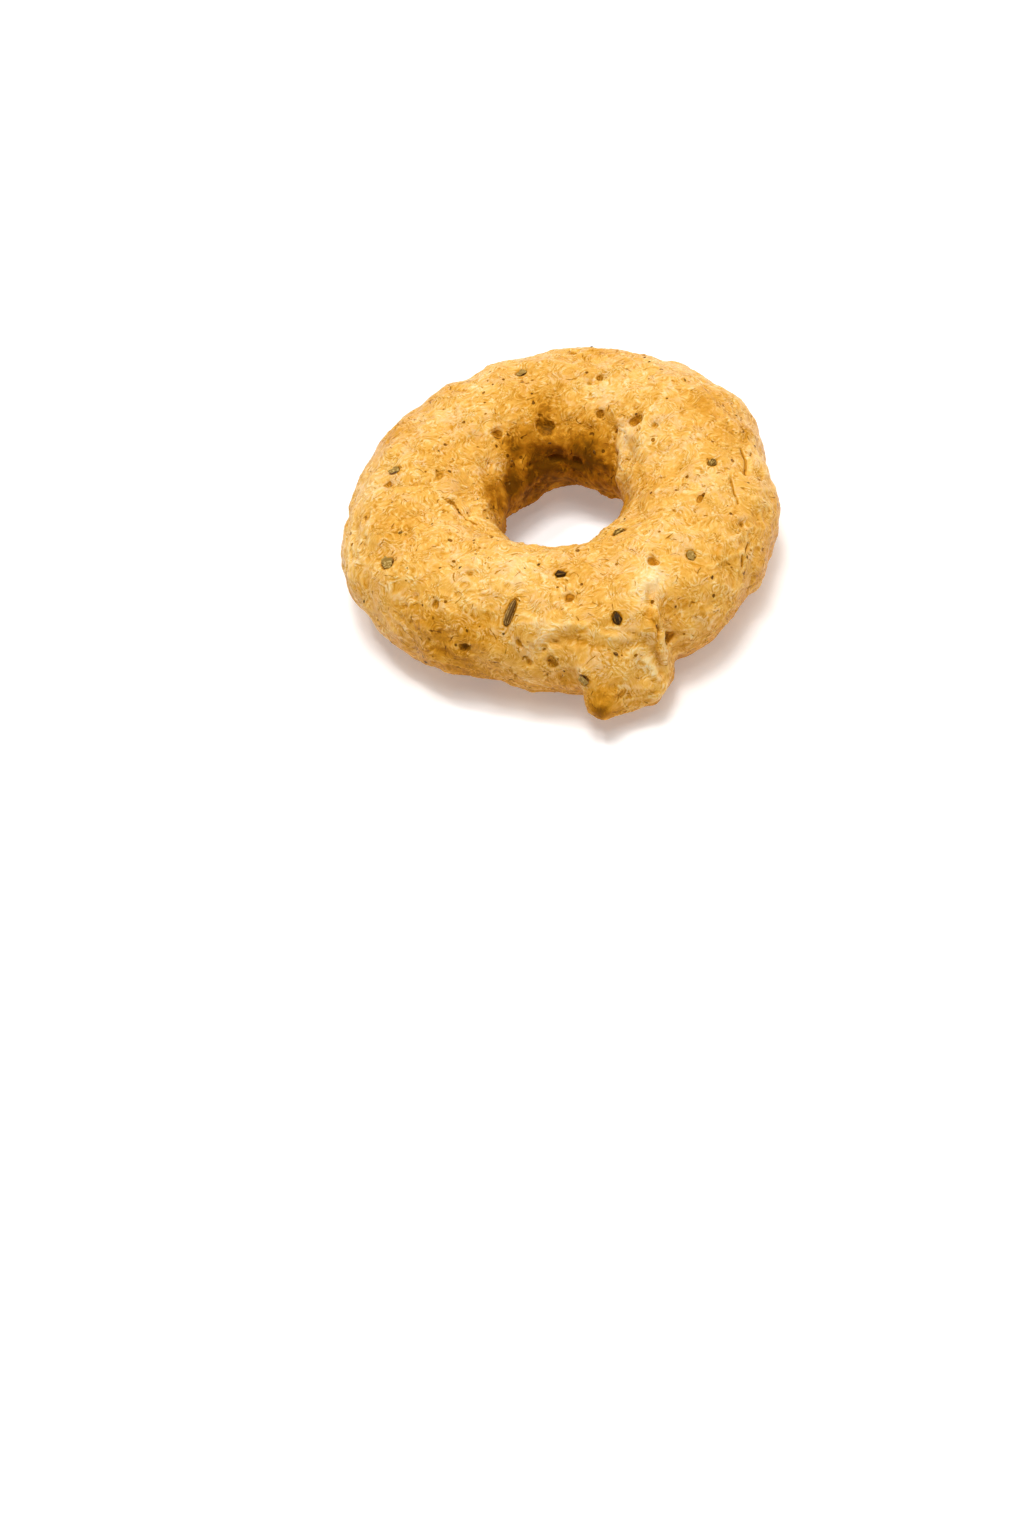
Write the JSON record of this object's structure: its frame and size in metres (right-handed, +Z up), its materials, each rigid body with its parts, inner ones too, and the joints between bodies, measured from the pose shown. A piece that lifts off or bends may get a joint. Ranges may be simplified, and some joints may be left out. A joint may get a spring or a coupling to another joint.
{
  "type": "tarallo",
  "caption": "Small ring-shaped baked cracker with an uneven golden crust, a lapped join with a pressed lip, and herb seeds.",
  "frame": {"origin": "centre of the bounding box in X and Y, on the plane that the tarallo rests on", "axes": "+Z up out of the ring, -Y towards the lapped join with its pressed lip"},
  "size_m": [0.0444, 0.0486, 0.0129],
  "materials": {
    "baked_dough": "satin baked crust, pale cream on the crests, golden on the flanks and brown in the hole"
  },
  "bodies": {
    "root": {"tarallo": "baked_dough"}
  },
  "joints": []
}
